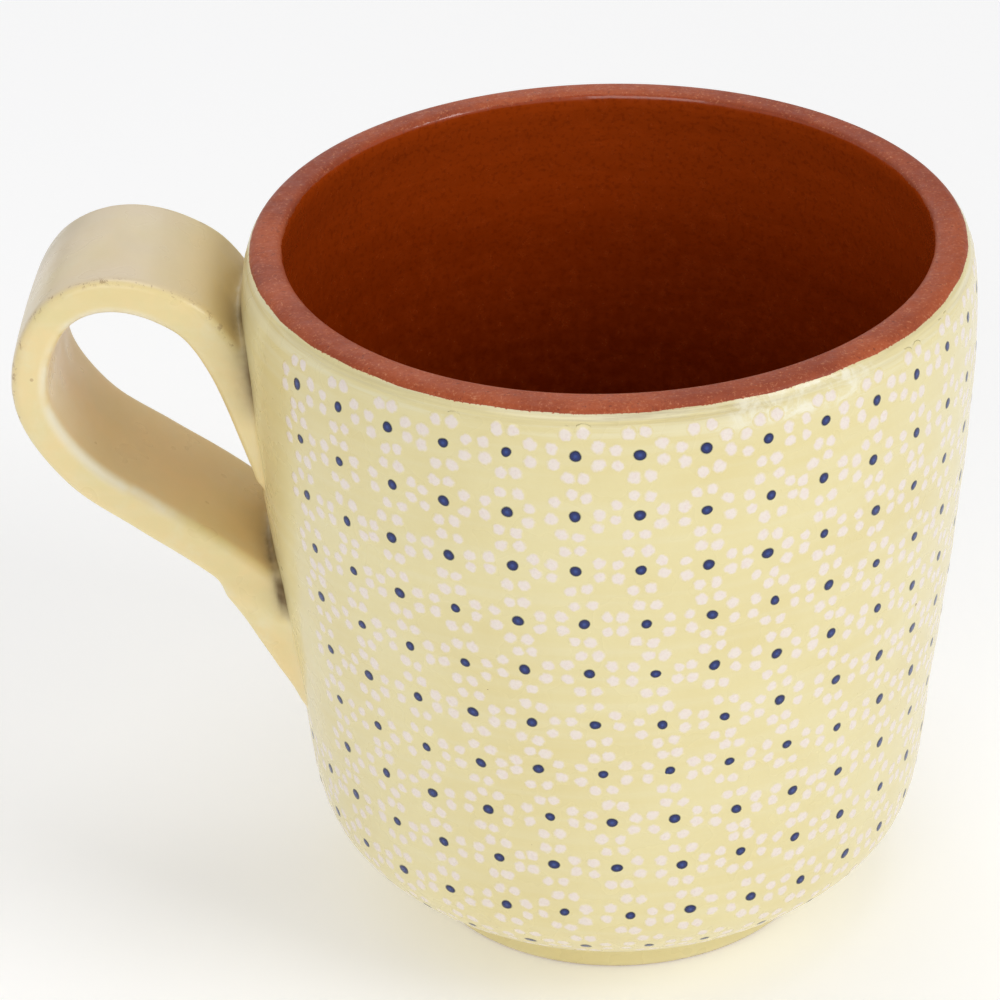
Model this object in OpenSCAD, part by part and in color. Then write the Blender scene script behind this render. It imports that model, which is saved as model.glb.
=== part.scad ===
// Hand-built dotted earthenware mug: a thrown red clay cup on a low foot ring, a pulled strap
// handle luted to the wall, a cream-yellow slip skin with pale and blue slip dots, and a glazed inside.
// Millimetres. The origin is the centre of the foot on the table, +Z is up, the handle points to -X.

/* [Cup] */
// Height from the table to the top of the lip
mug_height = 93.7; // [85:0.1:105]
// Outer radius of the bare clay lip
lip_radius = 44.9; // [42:0.1:48]
// Thickness of the lip
lip_thickness = 4.4; // [3.6:0.1:5.4]
// Widest radius of the clay wall, just below the lip
belly_radius = 45.6; // [44:0.1:48]
// Radius of the clay wall where it turns in towards the foot
shoulder_radius = 39.7; // [37:0.1:42]
// Height of that turn
shoulder_height = 19; // [16:0.5:24]
// Height of the inside floor above the table
floor_height = 7.2; // [6.6:0.1:9]

/* [Foot] */
// Outer radius of the clay foot ring
foot_radius = 26.1; // [24:0.1:28]
// Width of the foot ring
foot_width = 5.8; // [4:0.1:8]
// Height of the foot ring's outer side
foot_height = 4.0; // [3:0.1:5]
// Depth of the recess inside the ring
foot_recess = 2.4; // [1.5:0.1:3]

/* [Handle] */
// Width of the clay strap
strap_width = 21.8; // [16:0.1:26]
// Thickness of the clay strap at the top of its loop
strap_thickness = 4.1; // [3.4:0.1:5]
// Extra thickness of the strap where it meets the wall
strap_root_extra = 1.2; // [0:0.1:1.4]

/* [Skins] */
// Thickness of the yellow slip
slip_thickness = 0.45; // [0.3:0.05:0.6]
// Height at which the slip stops on the outside of the lip
slip_top = 93.1; // [92.4:0.1:93.5]
// Thickness of the clear glaze that lines the inside
glaze_thickness = 0.3; // [0.2:0.05:0.5]

/* [Dots] */
// Number of rows of blue dots
dot_rows = 11; // [8:1:11]
// Distance between rows, along the surface
row_pitch = 7.75; // [7.6:0.05:8.2]
// Distance between the blue dots of a row, round the wall
column_pitch = 7.82; // [7.6:0.02:8.2]
// Height of the first row
first_row_height = 87.7; // [87:0.1:89]
// Azimuth of the first dot of the rows that stop at the handle
first_azimuth = -153; // [-155:0.5:-150]
// Azimuth at which the dots of every row line up
anchor_azimuth = -143.3; // [-146:0.1:-141]
// Radius of a blue dot
blue_radius = 0.63; // [0.5:0.01:0.8]
// Radius of a pale dot
pale_radius = 0.8; // [0.6:0.01:0.8]
// Radius of the ring of pale dots round each blue one
ring_radius = 2.92; // [2.85:0.01:3.0]
// The ring is four pairs of dots: above, below and at both sides. Half the angle between a pair's dots
pair_half_angle = 19.5; // [19:0.5:22.5]
// Thickness of a dot
dot_thickness = 0.2; // [0.1:0.05:0.3]

/* [Hidden] */
$fn = 240;
red_clay = [0.62, 0.29, 0.18];
glazed_clay = [0.42, 0.13, 0.04];
yellow_slip = [0.88, 0.82, 0.62];
pale_slip = [0.92, 0.87, 0.83];
blue_slip = [0.13, 0.24, 0.52];
profile_steps = 5;        // spline steps between two control points of the cup's profile
strap_steps = 5;          // spline steps between two control points of the handle's centreline
lip_steps = 12;           // steps round the lip
lip_half = lip_thickness / 2;
slip_bottom = 0.3;        // the slip stops short of the table
slip_edge = 0.12;         // thickness of the slip's feathered top edge
slip_feather = 1.6;       // height over which it thins out
glaze_feather = 3;        // spline points over which the glaze thins out at the lip
foot_edge = 0.7;          // radius of the foot ring's edges
edge_steps = 4;           // steps round those edges
foot_slope = 2.2;         // how far the ring's inner top corner slopes into the recess
strap_thinnest = 0.475;   // share of the strap's length at which it is thinnest
strap_swell = 1.5;        // how quickly it thickens from there, as a power
cut_extra = 1;            // how far a cutting solid reaches past what it cuts
dot_sides = 16;
handle_lowest = 30;       // rows below this height run all the way round
jitter_seed = 17;
ring_turn = 4;            // most that a ring is turned out of line, in degrees
most_wander = 0.2;        // most that a blue dot is out of place, round the wall and down it

// ---- Curves ----

// One point of a Catmull-Rom spline, between b and c
function spline_point(a, b, c, d, t) =
    0.5 * (2 * b + (c - a) * t + (2 * a - 5 * b + 4 * c - d) * t * t + (3 * b - a - 3 * c + d) * t * t * t);

// A smooth line through every control point
function spline(p, steps) = [
    for (i = [0 : len(p) - 2], k = [0 : steps - 1])
        spline_point(p[max(i - 1, 0)], p[i], p[i + 1], p[min(i + 2, len(p) - 1)], k / steps),
    p[len(p) - 1]
];

// Unit normal of a line at point i, to the right of its direction
function normal_at(p, i) =
    let (d = p[min(i + 1, len(p) - 1)] - p[max(i - 1, 0)])
    [d[1], -d[0]] / norm(d);

function reversed(p) = [for (i = [len(p) - 1 : -1 : 0]) p[i]];

// ---- Cup profile, as [radius, height] ----

// Clay wall from the top of the foot to just under the lip
wall_line = spline([
    [foot_radius, foot_height],
    [foot_radius + 4.7, foot_height + 2.5],
    [shoulder_radius - 4.8, shoulder_height - 9.3],
    [shoulder_radius - 1.5, shoulder_height - 5.4],
    [shoulder_radius, shoulder_height],
    [shoulder_radius + 1.4, shoulder_height + 13],
    [shoulder_radius + 3.55, shoulder_height + 31],
    [belly_radius - 0.6, mug_height - 24.5],
    [belly_radius, mug_height - 9.5],
    [lip_radius, mug_height - lip_half]
], profile_steps);

// Half-round lip, from its outer side over the crown to its inner side
lip_line = [
    for (k = [1 : lip_steps])
        let (a = 180 * k / lip_steps)
        [lip_radius - lip_half + lip_half * cos(a), mug_height - lip_half + lip_half * sin(a)]
];

clay_outside = concat(wall_line, lip_line);

// Visible inside surface, from the lip down to the middle of the floor
inside_line = spline([
    [lip_radius - lip_thickness, mug_height - lip_half],
    [belly_radius - 4.4, mug_height - 10],
    [belly_radius - 4.7, mug_height - 28],
    [shoulder_radius - 1.3, shoulder_height + 24],
    [shoulder_radius - 3.3, shoulder_height + 5],
    [shoulder_radius - 6.2, floor_height + 5.2],
    [shoulder_radius - 12, floor_height + 0.9],
    [12, floor_height],
    [0, floor_height]
], profile_steps);

// The same line moved into the clay by the glaze; the glaze feathers out at the lip
glazed_line = [
    for (i = [0 : len(inside_line) - 1])
        let (p = inside_line[i], t = glaze_thickness * min(1, i / glaze_feather))
        i == len(inside_line) - 1 ? [0, p[1] - glaze_thickness] : p - normal_at(inside_line, i) * t
];

function slip_at(z) =
    slip_edge + (slip_thickness - slip_edge) * min(1, max(0, (slip_top - z) / slip_feather));

// Clay line under the slip, and the slip's own outer line. Their first two points are on the foot ring's side
slipped_line = concat(
    [[foot_radius, slip_bottom + foot_edge]],
    wall_line,
    [for (p = lip_line) if (p[1] <= slip_top && p[0] > lip_radius - lip_half) p]
);
slip_line = concat(
    [[foot_radius + slip_thickness, slip_bottom], [foot_radius + slip_thickness, foot_height]],
    [for (i = [2 : len(slipped_line) - 1])
        slipped_line[i] + normal_at(slipped_line, i) * slip_at(slipped_line[i][1])]
);

// Cup clay as a closed outline: floor underside, wall, lip, inside
cup_outline = concat(
    [[0, foot_recess], [foot_radius - foot_width + foot_slope, foot_recess]],
    clay_outside,
    [for (i = [1 : len(glazed_line) - 1]) glazed_line[i]]
);

module turned(outline) {
    rotate_extrude() polygon(outline);
}

// Solid of everything inside the clay wall, for cutting the handle to the wall
module filled_cup() {
    turned(concat([[0, foot_height]], wall_line, [[0, mug_height - lip_half]]));
}

module clay_cup() {
    color(red_clay) turned(cup_outline);
}

// Quarter-round edge of the foot ring, centred on c, starting at angle a
function foot_corner(c, a) = [
    for (k = [0 : edge_steps])
        let (turn = a + 90 * k / edge_steps)
        c + foot_edge * [cos(turn), sin(turn)]
];

module foot_ring() {
    inner = foot_radius - foot_width;
    color(red_clay) turned(concat(
        foot_corner([inner + foot_edge, foot_edge], 180),
        foot_corner([foot_radius - foot_edge, foot_edge], 270),
        [[foot_radius, foot_height], [inner + foot_slope, foot_recess], [inner, foot_recess]]
    ));
}

module cup_slip_coat() {
    color(yellow_slip) difference() {
        turned(concat(slip_line, reversed(slipped_line)));
        handle_body(slip_thickness);
    }
}

module interior_glaze() {
    color(glazed_clay) turned(concat(
        [for (i = [1 : len(glazed_line) - 1]) glazed_line[i]],
        reversed(inside_line)
    ));
}

// ---- Handle, drawn as [distance out from the axis, height] ----

// Centreline of the strap, from its upper root on the wall round the loop to its lower root
strap_line = spline([
    [42.2, 69.0],
    [48.7, 83.6],
    [54.4, 88.8],
    [61.6, 90.5],
    [67.9, 87.9],
    [71.6, 81.0],
    [71.4, 73.4],
    [66.3, 65.4],
    [58.6, 59.5],
    [50.7, 53.7],
    [41.0, 45.4]
], strap_steps);

// Half thickness along the strap: thinnest at the loop, thicker at both roots
function strap_half(u) =
    (strap_thickness + strap_root_extra * pow(2 * abs(u - strap_thinnest), strap_swell)) / 2;

function strap_side(side, margin) = [
    for (i = [0 : len(strap_line) - 1])
        strap_line[i] + side * (strap_half(i / (len(strap_line) - 1)) + margin) * normal_at(strap_line, i)
];

function strap_outline(margin) = concat(strap_side(1, margin), reversed(strap_side(-1, margin)));

// Clay worked into the corner under the upper root, and the tail smeared down the wall below the lower one
function upper_lute_outline(margin) = [
    [42.5, 75.0], [47.2 + margin, 75.0], [46.5 + margin, 72.5], [45.8 + margin, 69.5], [45.2 + margin, 66.0],
    [44.2 + margin, 61.0], [41.5, 61.0]
];
function lower_lute_outline(margin) = [
    [39.5, 48.5], [48.0 + margin, 49.6], [48.4 + margin, 48.4], [46.6 + margin, 45.4], [45.4 + margin, 42.4],
    [43.8 + margin, 39.4], [42.2 + margin, 36.3], [40.6 + margin, 33.0], [38.5, 33.0]
];

module slab(outline, width) {
    rotate([90, 0, 0]) translate([0, 0, -width / 2]) linear_extrude(width)
        polygon([for (p = outline) [-p[0], p[1]]]);
}

// Strap and lutes together, grown by a margin on every side
module handle_body(margin) {
    width = strap_width + 2 * margin;
    slab(strap_outline(margin), width);
    slab(upper_lute_outline(margin), width);
    slab(lower_lute_outline(margin), width);
}

module handle_strap() {
    color(red_clay) difference() {
        slab(strap_outline(0), strap_width);
        filled_cup();
    }
}

module upper_handle_lute() {
    color(red_clay) difference() {
        slab(upper_lute_outline(0), strap_width);
        slab(strap_outline(0), strap_width + cut_extra);
        filled_cup();
    }
}

module lower_handle_lute() {
    color(red_clay) difference() {
        slab(lower_lute_outline(0), strap_width);
        slab(strap_outline(0), strap_width + cut_extra);
        filled_cup();
    }
}

module handle_slip_coat() {
    color(yellow_slip) difference() {
        handle_body(slip_thickness);
        handle_body(0);
        filled_cup();
    }
}

// ---- Dots ----

// Slip surface from the lip downwards, and the distance along it to each of its points
dotted_line = reversed([for (i = [2 : len(slip_line) - 1]) slip_line[i]]);
function distances(p, i = 0, d = 0) =
    i == len(p) ? [] : concat([d], distances(p, i + 1, i == len(p) - 1 ? d : d + norm(p[i + 1] - p[i])));
dotted_at = distances(dotted_line);

// Distance along the surface at which a height is reached
function distance_to(z) =
    let (i = min([for (k = [0 : len(dotted_line) - 2]) if (dotted_line[k + 1][1] <= z) k]),
         a = dotted_line[i], b = dotted_line[i + 1])
    dotted_at[i] + norm(b - a) * (a[1] - z) / (a[1] - b[1]);

// [radius, height, tilt of the outward normal] at a distance along the surface
function surface_at(s) =
    let (i = max([for (k = [0 : len(dotted_line) - 2]) if (dotted_at[k] <= s || k == 0) k]),
         a = dotted_line[i], b = dotted_line[i + 1],
         p = a + (b - a) * (s - dotted_at[i]) / norm(b - a))
    [p[0], p[1], atan2(a[0] - b[0], a[1] - b[1])];

first_row = distance_to(first_row_height);
function row_distance(row) = first_row + row * row_pitch;
function row_step(row) = column_pitch / surface_at(row_distance(row))[0] * 180 / PI;
function runs_round(row) = surface_at(row_distance(row))[1] < handle_lowest;
function row_start(row) =
    anchor_azimuth - floor((anchor_azimuth - first_azimuth) / row_step(row)) * row_step(row);
function row_count(row) = runs_round(row)
    ? round(360 / row_step(row))
    : floor((-first_azimuth - row_start(row)) / row_step(row)) + 1;

// Hand-placed error of each dot, the same on every build
most_columns = 50;
wander = rands(-1, 1, dot_rows * most_columns * 2, jitter_seed);
function wander_at(row, column, k) = wander[(row * most_columns + column) * 2 + k];

function blue_azimuth(row, column) =
    let (step = runs_round(row) ? 360 / row_count(row) : row_step(row))
    row_start(row) + column * step + step * most_wander / column_pitch * wander_at(row, column, 0);
function blue_distance(row, column) = row_distance(row) + most_wander * wander_at(row, column, 1);

// A thin disc lying on the slip surface
module dot(azimuth, distance, radius) {
    at = surface_at(distance);
    rotate([0, 0, azimuth]) translate([at[0], 0, at[1]]) rotate([0, 90 + at[2], 0])
        cylinder(h = dot_thickness, r = radius, $fn = dot_sides);
}

module blue_dots() {
    color(blue_slip)
        for (row = [0 : dot_rows - 1], column = [0 : row_count(row) - 1])
            dot(blue_azimuth(row, column), blue_distance(row, column), blue_radius);
}

module pale_dots() {
    color(pale_slip)
        for (row = [0 : dot_rows - 1], column = [0 : row_count(row) - 1])
            let (distance = blue_distance(row, column), around = surface_at(distance)[0])
            for (quarter = [0 : 3], side = [-1, 1])
                let (a = 90 * quarter + side * pair_half_angle + ring_turn * wander_at(row, column, 0))
                dot(blue_azimuth(row, column) + ring_radius * cos(a) / around * 180 / PI,
                    distance + ring_radius * sin(a), pale_radius);
}

clay_cup();
foot_ring();
handle_strap();
upper_handle_lute();
lower_handle_lute();
cup_slip_coat();
handle_slip_coat();
interior_glaze();
pale_dots();
blue_dots();
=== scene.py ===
import math

import bpy
import numpy as np
from mathutils import Matrix, Vector


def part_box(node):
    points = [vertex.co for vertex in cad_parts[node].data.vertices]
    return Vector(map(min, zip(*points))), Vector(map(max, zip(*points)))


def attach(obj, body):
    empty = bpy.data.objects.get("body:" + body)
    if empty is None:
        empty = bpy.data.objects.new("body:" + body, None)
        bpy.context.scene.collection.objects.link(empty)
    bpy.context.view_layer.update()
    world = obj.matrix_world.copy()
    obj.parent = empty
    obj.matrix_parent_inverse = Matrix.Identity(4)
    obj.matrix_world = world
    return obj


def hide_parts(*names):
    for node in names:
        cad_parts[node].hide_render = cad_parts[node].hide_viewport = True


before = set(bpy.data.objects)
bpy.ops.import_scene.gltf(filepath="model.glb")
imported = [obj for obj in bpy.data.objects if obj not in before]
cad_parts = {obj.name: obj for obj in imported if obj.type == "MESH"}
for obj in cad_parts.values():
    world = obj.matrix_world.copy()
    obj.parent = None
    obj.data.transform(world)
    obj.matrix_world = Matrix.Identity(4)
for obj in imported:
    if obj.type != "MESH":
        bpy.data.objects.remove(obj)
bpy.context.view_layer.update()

# A thrown and slip-dotted earthenware mug. Everything is in metres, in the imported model's frame:
# the cup's axis is Z, the foot stands on z = 0 and the handle points to -X.

MM = 0.001
AROUND = 360                 # steps round the cup
FINE_STEP = 0.2 * MM         # step along the cup's profile near the lip
COARSE = 5                   # elsewhere the step is this many times longer


# ---------------------------------------------------------------- camera, floor and light

CAMERA_PLACE = Vector((9.13, -462.7, 325.17)) * MM
CAMERA_DOWN = 0.52792        # pitch below the horizon, radians
CAMERA_PAN = -0.05077        # turn to the right from +Y
CAMERA_ROLL = -0.03399       # turn about the line of sight
CAMERA_LENS = 149.9          # mm, on a 36 mm sensor


def make_camera():
    data = bpy.data.cameras.new("camera")
    data.lens = CAMERA_LENS
    data.sensor_width = 36.0
    data.clip_start = 0.01
    camera = bpy.data.objects.new("camera", data)
    bpy.context.scene.collection.objects.link(camera)
    forward = Vector((math.sin(CAMERA_PAN) * math.cos(CAMERA_DOWN),
                      math.cos(CAMERA_PAN) * math.cos(CAMERA_DOWN), -math.sin(CAMERA_DOWN)))
    level = Vector((math.cos(CAMERA_PAN), -math.sin(CAMERA_PAN), 0.0))
    upright = level.cross(forward)
    right = level * math.cos(CAMERA_ROLL) + upright * math.sin(CAMERA_ROLL)
    up = upright * math.cos(CAMERA_ROLL) - level * math.sin(CAMERA_ROLL)
    turn = Matrix((right, up, -forward)).transposed()
    camera.matrix_world = Matrix.Translation(CAMERA_PLACE) @ turn.to_4x4()
    bpy.context.scene.camera = camera


def soft_light(name, direction, distance, size, power, colour=(1.0, 1.0, 1.0)):
    """A rectangular soft box that looks at the middle of the mug from the given direction."""
    data = bpy.data.lights.new(name, "AREA")
    data.shape = "RECTANGLE"
    data.size, data.size_y = size
    data.energy = power
    data.color = colour
    light = bpy.data.objects.new(name, data)
    bpy.context.scene.collection.objects.link(light)
    aim = Vector((0.0, 0.0, 50 * MM))
    way = Vector(direction).normalized()
    light.location = aim + way * distance
    light.rotation_euler = (-way).to_track_quat("-Z", "Y").to_euler()


def make_studio():
    floor = bpy.data.meshes.new("floor")
    half = 3.0
    corners = [(-half, -half, 0), (half, -half, 0), (half, half, 0), (-half, half, 0)]
    floor.from_pydata(corners, [], [(0, 1, 2, 3)])
    stand = bpy.data.objects.new("floor", floor)
    bpy.context.scene.collection.objects.link(stand)
    paint = bpy.data.materials.new("floor_white")
    paint.use_nodes = True
    shader = paint.node_tree.nodes["Principled BSDF"]
    shader.inputs["Base Color"].default_value = (0.93, 0.93, 0.93, 1)
    shader.inputs["Roughness"].default_value = 0.7
    shader.inputs["Specular IOR Level"].default_value = 0.2
    shader.inputs["Emission Color"].default_value = (1, 1, 1, 1)
    shader.inputs["Emission Strength"].default_value = 0.2
    floor.materials.append(paint)

    world = bpy.data.worlds.new("studio")
    world.use_nodes = True
    sky = world.node_tree.nodes["Background"]
    sky.inputs["Color"].default_value = (1.0, 1.0, 1.0, 1)
    sky.inputs["Strength"].default_value = 0.42
    bpy.context.scene.world = world

    soft_light("key_right", (0.80, -0.42, 0.62), 0.9, (0.35, 0.45), 2.1)
    soft_light("front_fill", (-0.25, -0.95, 0.45), 1.3, (0.9, 0.7), 3.7)
    soft_light("top", (0.05, 0.1, 1.0), 1.1, (0.7, 0.5), 2.3)
    soft_light("back_left", (-0.45, 0.9, 0.55), 1.1, (1.2, 0.8), 1.5, (0.93, 0.94, 1.0))
    bpy.context.scene.view_settings.view_transform = "Standard"


# ---------------------------------------------------------------- material nodes

class Paint:
    """A procedural material, built node by node round one Principled shader."""

    def __init__(self, name):
        self.material = bpy.data.materials.new(name)
        self.material.use_nodes = True
        self.tree = self.material.node_tree
        self.shader = self.tree.nodes["Principled BSDF"]
        self.place = self.add("ShaderNodeTexCoord").outputs["Object"]

    def add(self, kind, **settings):
        node = self.tree.nodes.new(kind)
        for key, value in settings.items():
            setattr(node, key, value)
        return node

    def put(self, socket, value):
        if isinstance(value, bpy.types.NodeSocket):
            self.tree.links.new(value, socket)
        elif isinstance(value, tuple) and len(value) == 3 and socket.type == "RGBA":
            socket.default_value = (*value, 1.0)
        else:
            socket.default_value = value

    def stretch(self, scale):
        """The object's coordinates, scaled along each axis."""
        node = self.add("ShaderNodeMapping")
        self.put(node.inputs["Vector"], self.place)
        node.inputs["Scale"].default_value = scale
        return node.outputs["Vector"]

    def noise(self, per_metre, detail=3.0, rough=0.5, warp=0.0, scale=None):
        node = self.add("ShaderNodeTexNoise")
        self.put(node.inputs["Vector"], self.stretch(scale) if scale else self.place)
        node.inputs["Scale"].default_value = per_metre
        node.inputs["Detail"].default_value = detail
        node.inputs["Roughness"].default_value = rough
        node.inputs["Distortion"].default_value = warp
        return node.outputs["Fac"]

    def cells(self, per_metre):
        node = self.add("ShaderNodeTexVoronoi")
        self.put(node.inputs["Vector"], self.place)
        node.inputs["Scale"].default_value = per_metre
        return node

    def band(self, value, low, high, start=0.0, end=1.0):
        """value, taken smoothly from start at low to end at high."""
        node = self.add("ShaderNodeMapRange", interpolation_type="SMOOTHSTEP")
        self.put(node.inputs["Value"], value)
        for name, number in (("From Min", low), ("From Max", high), ("To Min", start), ("To Max", end)):
            self.put(node.inputs[name], number)
        return node.outputs["Result"]

    def between(self, value, start, full, falling, end):
        """1 from full to falling, easing to 0 at start and at end."""
        return self.math("MULTIPLY", self.band(value, start, full), self.band(value, end, falling))

    def math(self, operation, a, b=0.0, clamp=False):
        node = self.add("ShaderNodeMath", operation=operation, use_clamp=clamp)
        self.put(node.inputs[0], a)
        self.put(node.inputs[1], b)
        return node.outputs[0]

    def mix(self, amount, a, b):
        """From colour a to colour b. Sockets 6, 7 and 2 are the node's two colours and its result."""
        node = self.add("ShaderNodeMix", data_type="RGBA")
        self.put(node.inputs[0], amount)
        self.put(node.inputs[6], a)
        self.put(node.inputs[7], b)
        return node.outputs[2]

    def attribute(self, name):
        return self.add("ShaderNodeAttribute", attribute_name=name).outputs["Fac"]

    def axis(self, letter):
        node = self.add("ShaderNodeSeparateXYZ")
        self.put(node.inputs[0], self.place)
        return node.outputs[letter]

    def bump(self, height, depth, under=None):
        """A bump whose height runs from 0 to 1 over the given depth in metres."""
        node = self.add("ShaderNodeBump")
        self.put(node.inputs["Height"], height)
        node.inputs["Distance"].default_value = depth
        if under is not None:
            self.put(node.inputs["Normal"], under)
        return node.outputs["Normal"]

    def finish(self, colour, roughness, normal, **fixed):
        self.put(self.shader.inputs["Base Color"], colour)
        self.put(self.shader.inputs["Roughness"], roughness)
        self.put(self.shader.inputs["Normal"], normal)
        for name, value in fixed.items():
            self.shader.inputs[name.replace("_", " ")].default_value = value
        return self.material


def srgb(red, green, blue):
    """A colour given as 0 to 255 sRGB, in the linear values that shaders take."""
    def linear(v):
        v /= 255
        return v / 12.92 if v <= 0.04045 else ((v + 0.055) / 1.055) ** 2.4
    return (linear(red), linear(green), linear(blue))


SLIP_YELLOW = srgb(236, 224, 170)
SLIP_LIGHT = srgb(239, 231, 194)
# white of the painted highlights on the slip
HIGHLIGHT_WHITE = srgb(248, 244, 226)
SLIP_DEEP = srgb(230, 214, 153)
# beige of the painted sheen on the handle's top face
SHEEN_BEIGE = srgb(226, 208, 178)
# olive-brown of the darkened creases at the handle's roots
CREASE_DARK = srgb(92, 66, 20)
SLIP_OLIVE = srgb(176, 164, 112)
SLIP_SMEAR = srgb(150, 130, 104)
# tan of the painted shade inside the handle's loop
SHADE_TAN = srgb(236, 204, 158)
SLIP_WARM = srgb(246, 219, 160)
SLIP_OCHRE = srgb(214, 184, 118)
IRON = srgb(120, 66, 38)
TERRACOTTA = srgb(178, 84, 42)
TERRACOTTA_DARK = srgb(146, 60, 28)
TERRACOTTA_LIGHT = srgb(204, 128, 88)
TERRACOTTA_DEEP = srgb(104, 40, 22)
DOT_PALE = srgb(240, 228, 217)
DOT_PINK = srgb(232, 212, 204)
DOT_BLUE = srgb(14, 34, 100)
DOT_BLUE_DEEP = srgb(6, 16, 60)
DOT_BLUE_LIGHT = srgb(44, 72, 144)
DOT_HALO = srgb(168, 164, 124)
GLAZE_RED = srgb(150, 52, 2)
GLAZE_DARK = srgb(104, 26, 0)
GLAZE_ORANGE = srgb(178, 70, 14)


def slip_ground(paint):
    """The yellow slip's own colour: soft clouds, faint brush lines and a scatter of tiny iron specks."""
    clouds = paint.noise(55, detail=4, rough=0.55)
    colour = paint.mix(paint.band(clouds, 0.15, 0.80), SLIP_DEEP, SLIP_YELLOW)
    brush = paint.noise(28, detail=3, scale=(1, 1, 26))
    colour = paint.mix(paint.band(brush, 0.35, 0.95, 0.0, 0.45), colour, SLIP_LIGHT)
    grain = paint.noise(1900, detail=2)
    colour = paint.mix(paint.band(grain, 0.35, 0.65, 0.0, 0.10), colour, SLIP_DEEP)
    speck = paint.cells(210)
    rare = paint.add("ShaderNodeSeparateColor")
    paint.put(rare.inputs[0], speck.outputs["Color"])
    size = paint.band(rare.outputs[0], 0.90, 1.0, 0.0, 0.055)
    inside = paint.math("LESS_THAN", speck.outputs["Distance"], size)
    return paint.mix(paint.math("MULTIPLY", inside, 0.75), colour, IRON)


def slip_bump(paint):
    ripples = paint.bump(paint.noise(60, detail=1, scale=(1, 1, 5)), 0.12 * MM)
    return paint.bump(paint.noise(420, detail=3), 0.035 * MM, ripples)


def cup_slip_paint():
    paint = Paint("cup_slip")
    colour = slip_ground(paint)
    x, z = paint.axis("X"), paint.axis("Z")
    front = paint.band(paint.axis("Y"), -20 * MM, -30 * MM)
    streaks = paint.noise(40, detail=4, rough=0.6, scale=(1, 1, 30))
    pale = paint.math("MULTIPLY", paint.band(z, 86 * MM, 92 * MM), paint.band(streaks, 0.42, 0.6))
    colour = paint.mix(paint.math("MULTIPLY", pale, 0.7), colour, SLIP_LIGHT)
    # grey-brown brush lines just under the lip at the front
    brush = paint.band(paint.noise(45, detail=5, rough=0.7, scale=(1, 1, 34)), 0.34, 0.66)
    dark = paint.math("MULTIPLY", paint.band(z, 90.3 * MM, 91.8 * MM), brush)
    place = paint.math("MULTIPLY", paint.between(x, -8 * MM, 3 * MM, 14 * MM, 24 * MM), front)
    place = paint.math("ADD", paint.math("MULTIPLY", place, 0.35), 0.22)
    colour = paint.mix(paint.math("MULTIPLY", dark, place), colour, SLIP_SMEAR)
    # painted highlight: a white glare of the lights on the slip just under the lip at the front right
    painted_glare = paint.math("MULTIPLY", paint.between(x, 10 * MM, 19 * MM, 28 * MM, 34 * MM), front)
    painted_glare = paint.math("MULTIPLY", painted_glare, paint.between(z, 88.2 * MM, 89.6 * MM, 92.0 * MM, 92.8 * MM))
    torn = paint.band(paint.noise(420, detail=5, rough=0.7, warp=0.5), 0.38, 0.66)
    painted_glare = paint.math("MULTIPLY", painted_glare, torn)
    colour = paint.mix(paint.math("MULTIPLY", painted_glare, 0.75), colour, HIGHLIGHT_WHITE)
    # darker olive-brown in the creases where the handle joins the wall
    blotches = paint.band(paint.noise(300), 0.2, 0.7, 0.5, 1.0)
    crease_dark = paint.math("MULTIPLY", paint.attribute("crevice"), blotches)
    colour = paint.mix(paint.math("MULTIPLY", crease_dark, 0.8), colour, CREASE_DARK)
    # the slip breaks up into grains of clay at its ragged upper edge
    grains = paint.noise(2300, detail=3, rough=0.7)
    worn = paint.band(paint.math("SUBTRACT", paint.attribute("edge"), grains), 0.0, 0.16)
    colour = paint.mix(worn, colour, TERRACOTTA)
    rough = paint.band(paint.noise(180, detail=2), 0.3, 0.7, 0.24, 0.34)
    dull = paint.math("MULTIPLY", paint.math("MAXIMUM", crease_dark, worn), 0.4)
    rough = paint.math("ADD", rough, dull, clamp=True)
    return paint.finish(colour, rough, slip_bump(paint), Coat_Weight=0.25, Coat_Roughness=0.12, IOR=1.5)


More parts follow.
